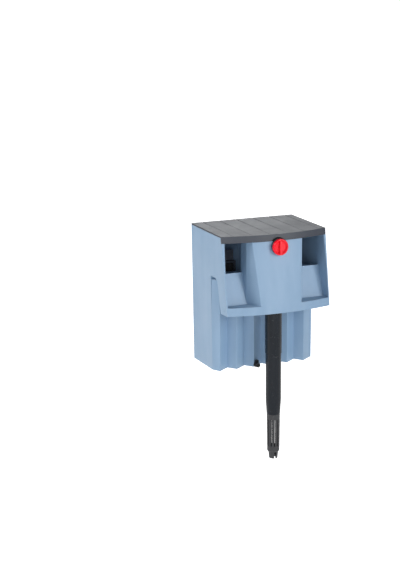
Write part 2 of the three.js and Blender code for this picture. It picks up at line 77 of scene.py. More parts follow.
camera_data = bpy.data.cameras.new("camera")
camera_data.lens = CAMERA_LENS
camera_data.sensor_width = 36.0
camera = bpy.data.objects.new("camera", camera_data)
camera.matrix_world = (
    Matrix.Translation(CAMERA_AT)
    @ turn(-CAMERA_AZIMUTH, "Z")
    @ turn(90 - CAMERA_PITCH, "X")
    @ turn(CAMERA_ROLL, "Z")
)
bpy.context.collection.objects.link(camera)
bpy.context.scene.camera = camera
bpy.context.scene.view_settings.view_transform = "Standard"


def new_object(name, bm, smooth_angle=None):
    """Makes an object at the origin from a bmesh whose points are already in place."""
    mesh = bpy.data.meshes.new(name)
    bm.to_mesh(mesh)
    bm.free()
    piece = bpy.data.objects.new(name, mesh)
    bpy.context.collection.objects.link(piece)
    if smooth_angle is not None:
        mesh.shade_smooth()
        mesh.set_sharp_from_angle(angle=math.radians(smooth_angle))
    return piece


def new_material(name):
    """A material with its Principled shader ready for links."""
    material = bpy.data.materials.new(name)
    material.use_nodes = True
    tree = material.node_tree
    return material, tree, tree.nodes["Principled BSDF"]


def seamless_backdrop():
    bm = bmesh.new()
    start = [Vector((x, BACKDROP_NEAR, FLOOR_Z)) for x in (-BACKDROP_HALF_WIDTH, BACKDROP_HALF_WIDTH)]
    edge = bm.edges.new([bm.verts.new(point) for point in start])
    out = bmesh.ops.extrude_edge_only(bm, edges=[edge])
    moved = [v for v in out["geom"] if isinstance(v, bmesh.types.BMVert)]
    bmesh.ops.translate(bm, vec=(0, BACKDROP_WALL - BACKDROP_NEAR, 0), verts=moved)
    edges = [e for e in out["geom"] if isinstance(e, bmesh.types.BMEdge)]
    last = [e for e in edges if all(v in moved for v in e.verts)]
    bmesh.ops.spin(bm, geom=last, cent=(0, BACKDROP_WALL, FLOOR_Z + BACKDROP_CURVE), axis=(1, 0, 0),
                   angle=math.pi / 2, steps=16, use_merge=False, use_duplicate=False)
    return new_object("seamless_backdrop", bm, 40)


def brighter_to_camera(tree, elsewhere, seen):
    """A strength that is higher where the camera looks straight at it."""
    path = tree.nodes.new("ShaderNodeLightPath")
    strength = tree.nodes.new("ShaderNodeMapRange")
    strength.inputs["To Min"].default_value = elsewhere
    strength.inputs["To Max"].default_value = seen
    tree.links.new(path.outputs["Is Camera Ray"], strength.inputs["Value"])
    return strength.outputs[0]


backdrop = seamless_backdrop()
paper, paper_tree, paper_shader = new_material("white_paper")
paper_shader.inputs["Base Color"].default_value = (0.93, 0.93, 0.93, 1)
paper_shader.inputs["Roughness"].default_value = 0.9
paper_shader.inputs["Emission Color"].default_value = (1.0, 1.0, 1.0, 1)
paper_tree.links.new(brighter_to_camera(paper_tree, 0.3, 0.9), paper_shader.inputs["Emission Strength"])
backdrop.data.materials.append(paper)

world = bpy.data.worlds.new("studio")
bpy.context.scene.world = world
world.use_nodes = True
sky = world.node_tree.nodes["Background"]
sky.inputs["Color"].default_value = (1.0, 1.0, 1.0, 1)
world.node_tree.links.new(brighter_to_camera(world.node_tree, 0.2, 1.0), sky.inputs["Strength"])


def softbox(name, at, aim, size, watts, colour):
    light = bpy.data.lights.new(name, "AREA")
    light.shape = "RECTANGLE"
    light.size, light.size_y = size
    light.energy = watts
    light.color = colour
    lamp = bpy.data.objects.new(name, light)
    direction = Vector(aim) - Vector(at)
    lamp.matrix_world = Matrix.Translation(at) @ direction.to_track_quat("-Z", "Y").to_matrix().to_4x4()
    bpy.context.collection.objects.link(lamp)


MIDDLE = (0, 0, -0.06)
softbox("key_from_left", (-1.9, 0.3, 1.15), MIDDLE, (0.9, 0.9), 26, (1.0, 0.965, 0.93))
softbox("soft_front", (1.0, -2.4, 0.75), MIDDLE, (1.1, 1.3), 31, (0.95, 0.985, 1.0))
softbox("low_back", (0.3, 2.3, 0.95), MIDDLE, (2.0, 1.0), 15, (0.95, 0.98, 1.0))
softbox("tall_strip", (-0.95, -2.1, 0.1), MIDDLE, (0.1, 1.4), 16, (0.97, 0.98, 1.0))

# ------------------------------------------------------------------ housing
# One injection moulding in satin grey-blue ABS: a pleated case behind the glass, two outlet
# chutes with a centre box in front of it, and the arched slot that hangs on the tank's rim.
def node_group(name, inputs, outputs):
    """A shader group with named sockets; a group puts out only masks, colours and heights."""
    tree = bpy.data.node_groups.new(name, "ShaderNodeTree")
    for label, kind, value in inputs:
        socket = tree.interface.new_socket(name=label, in_out="INPUT", socket_type=kind)
        socket.default_value = value
    for label, kind in outputs:
        tree.interface.new_socket(name=label, in_out="OUTPUT", socket_type=kind)
    return tree, tree.nodes.new("NodeGroupInput"), tree.nodes.new("NodeGroupOutput")


def add(tree, kind, links=(), **values):
    """Adds a node, links its inputs as (output, input name or index), and sets its values."""
    node = tree.nodes.new(kind)
    for key, value in values.items():
        if hasattr(node, key):
            setattr(node, key, value)
        else:
            node.inputs[key.replace("_", " ")].default_value = value
    for source, target in links:
        tree.links.new(source, node.inputs[target])
    return node


def math_node(tree, operation, a, b=None, clamp=False):
    node = tree.nodes.new("ShaderNodeMath")
    node.operation = operation
    node.use_clamp = clamp
    for index, value in enumerate((a, b)):
        if isinstance(value, (int, float)):
            node.inputs[index].default_value = value
        elif value is not None:
            tree.links.new(value, node.inputs[index])
    return node.outputs[0]


def mix_colours(tree, factor, first, second, blend="MIX"):
    node = tree.nodes.new("ShaderNodeMix")
    node.data_type = "RGBA"
    node.blend_type = blend
    for index, value in ((0, factor), (6, first), (7, second)):
        if isinstance(value, bpy.types.NodeSocket):
            tree.links.new(value, node.inputs[index])
        else:
            node.inputs[index].default_value = value
    return node.outputs[2]


def moulded_skin_group():
    """Plastic straight from the tool: slow colour drift, flow marks and the tool's fine grain."""
    tree, given, made = node_group("moulded_skin", [
        ("Color", "NodeSocketColor", (0.5, 0.5, 0.5, 1)),
        ("Variation", "NodeSocketFloat", 0.1),
        ("Grain Scale", "NodeSocketFloat", 1500.0),
        ("Roughness", "NodeSocketFloat", 0.4),
    ], [("Color", "NodeSocketColor"), ("Roughness", "NodeSocketFloat"), ("Height", "NodeSocketFloat")])
    at = add(tree, "ShaderNodeTexCoord").outputs["Object"]
    drift = add(tree, "ShaderNodeTexNoise", [(at, "Vector")], Scale=11.0, Detail=4.0, Roughness=0.6)
    stretch = add(tree, "ShaderNodeMapping", [(at, "Vector")], Scale=(60.0, 60.0, 9.0))
    flow = add(tree, "ShaderNodeTexNoise", [(stretch.outputs[0], "Vector")], Scale=1.0, Detail=3.0)
    both = math_node(tree, "ADD", drift.outputs["Fac"], flow.outputs["Fac"])
    swing = math_node(tree, "MULTIPLY", math_node(tree, "SUBTRACT", both, 1.0), given.outputs["Variation"])
    tinted = add(tree, "ShaderNodeHueSaturation", [
        (given.outputs["Color"], "Color"),
        (math_node(tree, "ADD", swing, 1.0), "Value"),
        (math_node(tree, "SUBTRACT", 1.0, swing), "Saturation"),
    ])
    tree.links.new(tinted.outputs[0], made.inputs["Color"])
    smudge = add(tree, "ShaderNodeTexNoise", [(at, "Vector")], Scale=38.0, Detail=5.0, Roughness=0.65)
    worn = math_node(tree, "MULTIPLY", math_node(tree, "SUBTRACT", smudge.outputs["Fac"], 0.5), 0.26)
    rough = math_node(tree, "ADD", given.outputs["Roughness"], worn, clamp=True)
    tree.links.new(rough, made.inputs["Roughness"])
    grain = add(tree, "ShaderNodeTexNoise", [(at, "Vector"), (given.outputs["Grain Scale"], "Scale")],
                Detail=3.0, Roughness=0.6)
    tree.links.new(grain.outputs["Fac"], made.inputs["Height"])
    return tree


def edge_highlight_group():
    """Where corners stand proud they are painted paler, in broken patches: a painted edge highlight."""
    tree, given, made = node_group("painted_edge_highlight", [
        ("Radius", "NodeSocketFloat", 0.0006),
        ("Breakup", "NodeSocketFloat", 90.0),
    ], [("Mask", "NodeSocketFloat")])
    round_over = add(tree, "ShaderNodeBevel", [(given.outputs["Radius"], "Radius")], samples=6)
    facing = add(tree, "ShaderNodeNewGeometry").outputs["Normal"]
    dot = add(tree, "ShaderNodeVectorMath", [(round_over.outputs[0], 0), (facing, 1)],
              operation="DOT_PRODUCT")
    edge = math_node(tree, "MULTIPLY", math_node(tree, "SUBTRACT", 1.0, dot.outputs["Value"]), 5.0,
                     clamp=True)
    at = add(tree, "ShaderNodeTexCoord").outputs["Object"]
    patches = add(tree, "ShaderNodeTexNoise", [(at, "Vector"), (given.outputs["Breakup"], "Scale")],
                  Detail=4.0)
    broken = math_node(tree, "MULTIPLY", math_node(tree, "SUBTRACT", patches.outputs["Fac"], 0.3), 2.2,
                       clamp=True)
    tree.links.new(math_node(tree, "MULTIPLY", edge, broken), made.inputs["Mask"])
    return tree


def dust_group():
    """Fine dust that lies on faces turned up."""
    tree, given, made = node_group("settled_dust", [("Amount", "NodeSocketFloat", 0.1)],
                                   [("Mask", "NodeSocketFloat")])
    facing = add(tree, "ShaderNodeNewGeometry").outputs["Normal"]
    up = add(tree, "ShaderNodeSeparateXYZ", [(facing, 0)]).outputs["Z"]
    at = add(tree, "ShaderNodeTexCoord").outputs["Object"]
    patches = add(tree, "ShaderNodeTexNoise", [(at, "Vector")], Scale=70.0, Detail=6.0, Roughness=0.7)
    lying = math_node(tree, "MULTIPLY", math_node(tree, "MAXIMUM", up, 0.0), patches.outputs["Fac"])
    mask = math_node(tree, "MULTIPLY", lying, given.outputs["Amount"], clamp=True)
    tree.links.new(mask, made.inputs["Mask"])
    return tree


MOULDED_SKIN = moulded_skin_group()
PAINTED_EDGE_HIGHLIGHT = edge_highlight_group()
SETTLED_DUST = dust_group()
DUST_COLOUR = (0.45, 0.44, 0.42, 1)


def use_group(tree, group, **values):
    node = tree.nodes.new("ShaderNodeGroup")
    node.node_tree = group
    for key, value in values.items():
        node.inputs[key.replace("_", " ")].default_value = value
    return node


def plastic(name, colour, highlight_colour, roughness, variation=0.16, grain=1500.0, grain_depth=0.02,
            highlight_amount=0.5, highlight_radius=0.0006, dust=0.06, coat=0.0, gloss=0.5):
    """A moulded plastic: skin, proud edges painted paler as a painted highlight, and a little dust, each with
    this plastic's values.
    """
    material, tree, shader = new_material(name)
    skin = use_group(tree, MOULDED_SKIN, Color=colour, Variation=variation, Grain_Scale=grain,
                     Roughness=roughness)
    highlit_rims = use_group(tree, PAINTED_EDGE_HIGHLIGHT, Radius=highlight_radius)
    dusty = use_group(tree, SETTLED_DUST, Amount=dust)
    # Proud edges are mixed towards the paler colour: a painted edge highlight, in broken patches.
    edge = math_node(tree, "MULTIPLY", highlit_rims.outputs["Mask"], highlight_amount)
    painted = mix_colours(tree, edge, skin.outputs["Color"], highlight_colour)
    painted = mix_colours(tree, dusty.outputs["Mask"], painted, DUST_COLOUR)
    tree.links.new(painted, shader.inputs["Base Color"])
    tree.links.new(skin.outputs["Roughness"], shader.inputs["Roughness"])
    bump = add(tree, "ShaderNodeBump", [(skin.outputs["Height"], "Height")], Strength=0.35,
               Distance=grain_depth / 1000)
    tree.links.new(bump.outputs[0], shader.inputs["Normal"])
    shader.inputs["Specular IOR Level"].default_value = gloss
    shader.inputs["Coat Weight"].default_value = coat
    shader.inputs["Coat Roughness"].default_value = 0.12
    return material


def finish(piece, material, body, slot, *stands_for):
    piece.data.materials.clear()
    piece.data.materials.append(material)
    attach(piece, body)
    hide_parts(*stands_for)
    return piece


def finished_copy(node, name, material, body, slot, radius=0.0004, smooth_angle=35):
    """The same solid with its corners rounded, as a mould leaves them."""
    bm = bmesh.new()
    bm.from_mesh(nodes[node].data)
    bmesh.ops.remove_doubles(bm, verts=bm.verts, dist=2e-6)
    bmesh.ops.dissolve_limit(bm, angle_limit=math.radians(0.5), verts=bm.verts, edges=bm.edges)
    piece = new_object(name, bm, smooth_angle)
    rounded = piece.modifiers.new("rounded_corners", "BEVEL")
    rounded.width = radius
    rounded.segments = 2
    rounded.limit_method = "ANGLE"
    rounded.angle_limit = math.radians(smooth_angle)
    rounded.harden_normals = True
    return finish(piece, material, body, slot, node)


blue_grey = plastic("blue_grey_abs", (0.225, 0.345, 0.495, 1), (0.45, 0.55, 0.66, 1), 0.4,
                    variation=0.14, grain=1100.0, grain_depth=0.03, highlight_amount=0.45)
finished_copy("housing", "housing_shell", blue_grey, "housing", "grey_blue_moulding", 0.0005)

# ------------------------------------------------------------------ lid
# A flat cover in dark grey ABS with a fine spark-eroded texture and six shallow grooves,
# with a fascia at the front and a thin rim inside that drops into the case.
lid_grey = plastic("textured_lid_grey", (0.040, 0.046, 0.062, 1), (0.13, 0.135, 0.155, 1), 0.46,
                   variation=0.2, grain=1900.0, grain_depth=0.06, highlight_amount=0.5, dust=0.1)
finished_copy("lid", "lid_cover", lid_grey, "lid", "lid_grey", 0.0005)

# ------------------------------------------------------------------ flow regulator
# A red ABS dial pressed onto a square spindle, which turns a sleeve valve behind the centre
# panel. A black collar fills the wedge between the upright dial and the leaning panel.
def lathe(profile, centre, axis, steps=72):
    """Spins a (radius, along) profile about Z or Y; one that doesn't end on that line is closed."""
    bm = bmesh.new()
    centre = Vector(centre)
    line = Vector((0, 0, 1)) if axis == "Z" else Vector((0, 1, 0))
    verts = [bm.verts.new(centre + Vector((radius, 0, 0)) + line * along) for radius, along in profile]
    edges = [bm.edges.new(pair) for pair in zip(verts, verts[1:])]
    if profile[0][0] > 0 and profile[-1][0] > 0:
        edges.append(bm.edges.new((verts[-1], verts[0])))
    bmesh.ops.spin(bm, geom=verts + edges, cent=centre, axis=line, angle=2 * math.pi, steps=steps,
                   use_merge=True, use_duplicate=False)
    bmesh.ops.remove_doubles(bm, verts=bm.verts, dist=1e-6)
    bmesh.ops.recalc_face_normals(bm, faces=bm.faces)
    return bm


def block(bm, low, high, corner, segments=3):
    """Adds a box between two corners, with its edges rounded."""
    low, high = Vector(low), Vector(high)
    size = high - low
    made = bmesh.ops.create_cube(bm, size=1, matrix=Matrix.Translation((low + high) / 2)
                                 @ Matrix.Diagonal((size.x, size.y, size.z, 1)))
    verts = made["verts"]
    edges = list({edge for vert in verts for edge in vert.link_edges})
    bmesh.ops.bevel(bm, geom=edges, offset=corner, offset_type="OFFSET", affect="EDGES",
                    segments=segments, profile=0.5, material=-1)


KNOB_LOW, KNOB_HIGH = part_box("flow_knob")
KNOB_AXIS_X = (KNOB_LOW.x + KNOB_HIGH.x) / 2
KNOB_AXIS_Z = (KNOB_LOW.z + KNOB_HIGH.z) / 2
KNOB_RADIUS = (KNOB_HIGH.x - KNOB_LOW.x) / 2
GRIP_PROUD = 0.0006
GRIP_HALF_WIDTH = 0.0015
GRIP_HALF_LENGTH = 0.0092
DIAL_FACE = KNOB_LOW.y + GRIP_PROUD
DIAL_BACK = KNOB_HIGH.y


def flow_dial():
    depth = DIAL_BACK - DIAL_FACE
    dish = [
        (0, 0.0034), (KNOB_RADIUS - 0.0038, 0.0034), (KNOB_RADIUS - 0.0028, 0.0026),
        (KNOB_RADIUS - 0.0023, 0.0008), (KNOB_RADIUS - 0.0018, 0.0002), (KNOB_RADIUS - 0.0012, 0),
        (KNOB_RADIUS - 0.0006, 0.0002), (KNOB_RADIUS - 0.0002, 0.0008), (KNOB_RADIUS, 0.0016),
        (KNOB_RADIUS, 0.0041), (KNOB_RADIUS - 0.0003, 0.0046), (KNOB_RADIUS - 0.0012, depth),
        (0.0055, depth), (0.005, depth - 0.0006), (0, depth - 0.0006),
    ]
    bm = lathe(dish, (KNOB_AXIS_X, DIAL_FACE, KNOB_AXIS_Z), "Y", 96)
    block(bm, (KNOB_AXIS_X - GRIP_HALF_WIDTH, DIAL_FACE - GRIP_PROUD, KNOB_AXIS_Z - GRIP_HALF_LENGTH),
          (KNOB_AXIS_X + GRIP_HALF_WIDTH, DIAL_FACE + 0.0042, KNOB_AXIS_Z + GRIP_HALF_LENGTH), 0.0007, 4)
    return new_object("flow_dial", bm, 32)


# The dial's proud edges are painted a paler pink: a painted edge highlight.
dial_red = plastic("dial_red", (0.86, 0.004, 0.02, 1), (0.95, 0.12, 0.15, 1), 0.26, variation=0.1,
                   grain=900.0, grain_depth=0.015, highlight_amount=0.3, highlight_radius=0.0005, dust=0.0, gloss=0.35)
finish(flow_dial(), dial_red, "regulator", "red_knob", "flow_knob")

black_abs = plastic("satin_black_abs", (0.018, 0.021, 0.027, 1), (0.09, 0.095, 0.105, 1), 0.38,
                    variation=0.3, grain=1400.0, grain_depth=0.03, highlight_amount=0.45)
finished_copy("regulator_collar", "wedge_collar", black_abs, "housing", "black_moulding", 0.0003)
finished_copy("valve_drum", "sleeve_valve", black_abs, "regulator", "black_moulding", 0.0002)

# ------------------------------------------------------------------ intake pipe
# Glossy black PVC: a fixed tube in the socket under the centre box, and a thinner tube that
# slides in it, necked at the foot for the strainer. Both are extruded and cut square.
TUBE_LOW, TUBE_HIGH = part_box("suction_tube")
TUBE_X = (TUBE_LOW.x + TUBE_HIGH.x) / 2
TUBE_Y = (TUBE_LOW.y + TUBE_HIGH.y) / 2
TUBE_RADIUS = (TUBE_HIGH.x - TUBE_LOW.x) / 2
TUBE_BORE = 0.01115
EXTENSION_LOW, EXTENSION_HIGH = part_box("extension_tube")
EXTENSION_RADIUS = (EXTENSION_HIGH.x - EXTENSION_LOW.x) / 2
EXTENSION_BORE = 0.0099
NECK_TOP = -0.1805
NECK_RADIUS = 0.0096
NECK_BORE = 0.00835


def pipe_black():
    """Extruded pipe: die lines along it, fine handling scratches, and chalky water marks low down."""
    material, tree, shader = new_material("glossy_black_pvc")
    skin = use_group(tree, MOULDED_SKIN, Color=(0.006, 0.009, 0.014, 1), Variation=0.3, Grain_Scale=700.0,
                     Roughness=0.24)
    at = add(tree, "ShaderNodeTexCoord").outputs["Object"]
    along = add(tree, "ShaderNodeMapping", [(at, "Vector")], Scale=(1500.0, 1500.0, 6.0))
    lines = add(tree, "ShaderNodeTexNoise", [(along.outputs[0], "Vector")], Scale=1.0, Detail=2.0)
    across = add(tree, "ShaderNodeMapping", [(at, "Vector")], Scale=(160.0, 160.0, 1400.0))
    slides = add(tree, "ShaderNodeTexNoise", [(across.outputs[0], "Vector")], Scale=1.0, Detail=2.0)
    chalk = add(tree, "ShaderNodeTexNoise", [(at, "Vector")], Scale=160.0, Detail=7.0, Roughness=0.72)
    height = add(tree, "ShaderNodeSeparateXYZ", [(at, 0)]).outputs["Z"]
    low = add(tree, "ShaderNodeMapRange", [(height, "Value")])
    low.inputs["From Min"].default_value = -0.02
    low.inputs["From Max"].default_value = -0.27
    spots = math_node(tree, "MULTIPLY", math_node(tree, "SUBTRACT", chalk.outputs["Fac"], 0.56), 4.0,
                      clamp=True)
    marks = math_node(tree, "MULTIPLY", math_node(tree, "MULTIPLY", spots, low.outputs[0]), 0.10)
    # The pipe's rims are mixed towards a paler grey: a painted edge highlight.
    highlit_rims = use_group(tree, PAINTED_EDGE_HIGHLIGHT, Radius=0.0006)
    edge = math_node(tree, "MULTIPLY", highlit_rims.outputs["Mask"], 0.5)
    painted = mix_colours(tree, marks, skin.outputs["Color"], (0.5, 0.5, 0.48, 1))
    painted = mix_colours(tree, edge, painted, (0.10, 0.105, 0.12, 1))
    tree.links.new(painted, shader.inputs["Base Color"])
    rough = math_node(tree, "ADD", skin.outputs["Roughness"], math_node(tree, "MULTIPLY", spots, 0.14),
                      clamp=True)
    tree.links.new(rough, shader.inputs["Roughness"])
    relief = math_node(tree, "ADD", lines.outputs["Fac"],
                       math_node(tree, "MULTIPLY", slides.outputs["Fac"], 0.35))
    bump = add(tree, "ShaderNodeBump", [(relief, "Height")], Strength=0.18, Distance=0.00003)
    tree.links.new(bump.outputs[0], shader.inputs["Normal"])
    shader.inputs["Specular IOR Level"].default_value = 0.28
    return material


def pipe(name, rings, steps=96):
    return new_object(name, lathe(rings, (TUBE_X, TUBE_Y, 0), "Z", steps), 30)


pvc = pipe_black()
LIP = 0.0005
fixed_tube = pipe("fixed_tube", [
    (TUBE_BORE, TUBE_LOW.z + LIP), (TUBE_BORE + 0.00015, TUBE_LOW.z), (TUBE_RADIUS - 0.0003, TUBE_LOW.z),
    (TUBE_RADIUS - 0.00008, TUBE_LOW.z + 0.00015), (TUBE_RADIUS, TUBE_LOW.z + LIP),
    (TUBE_RADIUS, TUBE_HIGH.z - 0.0008), (TUBE_RADIUS - 0.0002, TUBE_HIGH.z - 0.0002),
    (TUBE_RADIUS - 0.0005, TUBE_HIGH.z), (TUBE_BORE + 0.0001, TUBE_HIGH.z), (TUBE_BORE, TUBE_HIGH.z - 0.0002),
])
finish(fixed_tube, pvc, "housing", "black_pipe", "suction_tube")
sliding_tube = pipe("sliding_tube", [
    (EXTENSION_BORE, EXTENSION_HIGH.z - LIP), (EXTENSION_BORE + 0.0003, EXTENSION_HIGH.z),
    (EXTENSION_RADIUS - 0.0003, EXTENSION_HIGH.z), (EXTENSION_RADIUS, EXTENSION_HIGH.z - LIP),
    (EXTENSION_RADIUS, NECK_TOP + 0.0012), (EXTENSION_RADIUS - 0.00006, NECK_TOP - 0.0003),
    (NECK_RADIUS + 0.0001, EXTENSION_LOW.z + 0.0008), (NECK_RADIUS, EXTENSION_LOW.z + 0.0003),
    (NECK_RADIUS - 0.0002, EXTENSION_LOW.z), (NECK_BORE + 0.00015, EXTENSION_LOW.z),
    (NECK_BORE, EXTENSION_LOW.z + 0.0003), (EXTENSION_BORE, NECK_TOP),
])
finish(sliding_tube, pvc, "extension", "black_pipe", "extension_tube")

# The strainer is a slotted ABS thimble pushed onto the neck, with two prongs that keep it
# off the gravel.
# Its rib and slot edges are painted strongly paler: a painted highlight along the slots.
strainer_black = plastic("strainer_black", (0.030, 0.031, 0.035, 1), (0.20, 0.19, 0.20, 1), 0.36,
                         variation=0.35, grain=1100.0, grain_depth=0.04, highlight_amount=0.8, highlight_radius=0.0005)
finished_copy("strainer", "slotted_strainer", strainer_black, "extension", "black_moulding", 0.00025, 28)

# The riser's head and the pipe that crosses the rim are black ABS mouldings plugged together.
finished_copy("regulator_housing", "riser_head", black_abs, "housing", "black_moulding", 0.0004)
finished_copy("crossover_pipe", "crossover_elbow", black_abs, "housing", "black_moulding", 0.0003)

# ------------------------------------------------------------------ pump
# A potted motor block stands in the well behind the cartridges; its magnet rotor turns on a
# white ceramic shaft and drives a six-bladed impeller under a black volute cover.
finished_copy("pump_motor", "potted_motor", black_abs, "housing", "black_moulding", 0.0006)
finished_copy("pump_cover", "volute_cover", black_abs, "housing", "black_moulding", 0.0003)
rotor_white = plastic("impeller_white", (0.62, 0.62, 0.58, 1), (0.75, 0.74, 0.7, 1), 0.42, variation=0.12,
                      highlight_amount=0.3)
finished_copy("impeller", "bladed_impeller", rotor_white, "impeller", "white_moulding", 0.0002)
ferrite = plastic("sintered_ferrite", (0.045, 0.042, 0.04, 1), (0.12, 0.115, 0.11, 1), 0.55, variation=0.5,
                  grain=2600.0, grain_depth=0.06, highlight_amount=0.6)
finished_copy("rotor_magnet", "ferrite_rotor", ferrite, "impeller", "ferrite_magnet", 0.0003)
ceramic = plastic("ground_ceramic", (0.78, 0.76, 0.7, 1), (0.84, 0.82, 0.78, 1), 0.25, variation=0.06,
                  grain=1800.0, grain_depth=0.01, highlight_amount=0.3)
finished_copy("impeller_shaft", "ceramic_shaft", ceramic, "housing", "ceramic_shaft", 0.0002)

# Seals, bushes, the motor's cable gland and the cable grommet are soft black rubber.
rubber = plastic("soft_black_rubber", (0.012, 0.012, 0.013, 1), (0.05, 0.05, 0.052, 1), 0.66, variation=0.5,
                 grain=800.0, grain_depth=0.05, highlight_amount=0.6, dust=0.2)
RUBBER_PIECES = [
    ("spindle_seal", "spindle_o_ring", "regulator"), ("tube_seal", "socket_seal", "housing"),
    ("cover_seal", "volute_o_ring", "housing"), ("lower_bush", "lower_shaft_bush", "housing"),
    ("upper_bush", "upper_shaft_bush", "housing"), ("motor_gland", "cable_gland", "housing"),
    ("cable_grommet", "split_grommet", "housing"),
]
for node_name, piece_name, body_name in RUBBER_PIECES:
    finished_copy(node_name, piece_name, rubber, body_name, "black_rubber", 0.0003, 50)

# ------------------------------------------------------------------ cartridges
# Behind each chute stands a cartridge: an open frame of stiff blue-grey plastic with a pull
# tab, filled with two packs of carbon granules, and a white fleece across its back.
frame_plastic = plastic("cartridge_blue_grey", (0.035, 0.042, 0.058, 1), (0.12, 0.13, 0.16, 1), 0.48,
                        variation=0.25, grain=1500.0, grain_depth=0.04, highlight_amount=0.5)


def granule_black():
    """Crushed carbon: every granule its own dull black, with painted shade in the gaps between them."""
    material, tree, shader = new_material("carbon_granules")
    at = add(tree, "ShaderNodeTexCoord").outputs["Object"]
    wobble = add(tree, "ShaderNodeTexNoise", [(at, "Vector")], Scale=900.0, Detail=2.0)
    shifted = add(tree, "ShaderNodeVectorMath", [(wobble.outputs["Color"], 0)], operation="SCALE")
    shifted.inputs["Scale"].default_value = 0.0009
    bent = add(tree, "ShaderNodeVectorMath", [(at, 0), (shifted.outputs[0], 1)], operation="ADD")
    cells = add(tree, "ShaderNodeTexVoronoi", [(bent.outputs[0], "Vector")], Scale=520.0)
    shade = add(tree, "ShaderNodeMapRange", [(cells.outputs["Color"], "Value")])
    shade.inputs["To Min"].default_value = 0.25
    shade.inputs["To Max"].default_value = 2.2
    # Towards each granule's border the colour goes near black: painted shade in the crevices between
    # granules.
    gap_shade = math_node(tree, "MULTIPLY", cells.outputs["Distance"], 1.1, clamp=True)
    tint = add(tree, "ShaderNodeHueSaturation", [(shade.outputs[0], "Value")], Color=(0.017, 0.017, 0.018, 1))
    painted = mix_colours(tree, gap_shade, tint.outputs[0], (0.003, 0.003, 0.003, 1))
    tree.links.new(painted, shader.inputs["Base Color"])
    rough = math_node(tree, "ADD", math_node(tree, "MULTIPLY", wobble.outputs["Fac"], 0.3), 0.55, clamp=True)
    tree.links.new(rough, shader.inputs["Roughness"])
    relief = math_node(tree, "SUBTRACT", 1.0, cells.outputs["Distance"])
    bump = add(tree, "ShaderNodeBump", [(relief, "Height")], Strength=0.9, Distance=0.0006)
    tree.links.new(bump.outputs[0], shader.inputs["Normal"])
    return material


def fibre_white():
    """Needled fleece: crossing fibres and small pits where the needles went through."""
    material, tree, shader = new_material("needled_fleece_white")
    at = add(tree, "ShaderNodeTexCoord").outputs["Object"]
    layers = []
    for angle in (25, -40):
        turned = add(tree, "ShaderNodeMapping", [(at, "Vector")], Scale=(2200.0, 400.0, 160.0))
        turned.inputs["Rotation"].default_value = (0, math.radians(angle), 0)
        layers.append(add(tree, "ShaderNodeTexNoise", [(turned.outputs[0], "Vector")], Scale=1.0, Detail=3.0))
    fibres = math_node(tree, "MAXIMUM", layers[0].outputs["Fac"], layers[1].outputs["Fac"])
    pits = add(tree, "ShaderNodeTexVoronoi", [(at, "Vector")], Scale=330.0)
    soil = add(tree, "ShaderNodeTexNoise", [(at, "Vector")], Scale=30.0, Detail=5.0)
    tan = math_node(tree, "MULTIPLY", math_node(tree, "SUBTRACT", soil.outputs["Fac"], 0.35), 0.7, clamp=True)
    clean = mix_colours(tree, fibres, (0.62, 0.64, 0.66, 1), (0.86, 0.88, 0.9, 1))
    tree.links.new(mix_colours(tree, tan, clean, (0.62, 0.58, 0.48, 1)), shader.inputs["Base Color"])
    rough = math_node(tree, "ADD", math_node(tree, "MULTIPLY", fibres, 0.2), 0.75, clamp=True)
    tree.links.new(rough, shader.inputs["Roughness"])
    relief = math_node(tree, "ADD", fibres, math_node(tree, "MULTIPLY", pits.outputs["Distance"], 0.6))
    bump = add(tree, "ShaderNodeBump", [(relief, "Height")], Strength=0.7, Distance=0.0005)
    tree.links.new(bump.outputs[0], shader.inputs["Normal"])
    shader.inputs["Sheen Weight"].default_value = 0.35
    return material


def open_foam():
    """Open-cell foam: round pores of two sizes, painted near black as painted shade in the hollows, with thin
    pale walls between them.
    """
    material, tree, shader = new_material("coarse_black_foam")
    at = add(tree, "ShaderNodeTexCoord").outputs["Object"]
    large = add(tree, "ShaderNodeTexVoronoi", [(at, "Vector")], Scale=620.0)
    small = add(tree, "ShaderNodeTexVoronoi", [(at, "Vector")], Scale=1500.0)
    pores = math_node(tree, "ADD", math_node(tree, "MULTIPLY", large.outputs["Distance"], 0.8),
                      math_node(tree, "MULTIPLY", small.outputs["Distance"], 0.35), clamp=True)
    drift = add(tree, "ShaderNodeTexNoise", [(at, "Vector")], Scale=45.0, Detail=4.0)
    wall = mix_colours(tree, drift.outputs["Fac"], (0.022, 0.027, 0.036, 1), (0.055, 0.062, 0.075, 1))
    # The pore centres are mixed to near black: painted shade inside the pores.
    tree.links.new(mix_colours(tree, pores, (0.006, 0.007, 0.009, 1), wall), shader.inputs["Base Color"])
    rough = math_node(tree, "ADD", math_node(tree, "MULTIPLY", drift.outputs["Fac"], 0.2), 0.72, clamp=True)
    tree.links.new(rough, shader.inputs["Roughness"])
    bump = add(tree, "ShaderNodeBump", [(pores, "Height")], Strength=1.0, Distance=0.0008)
    tree.links.new(bump.outputs[0], shader.inputs["Normal"])
    return material


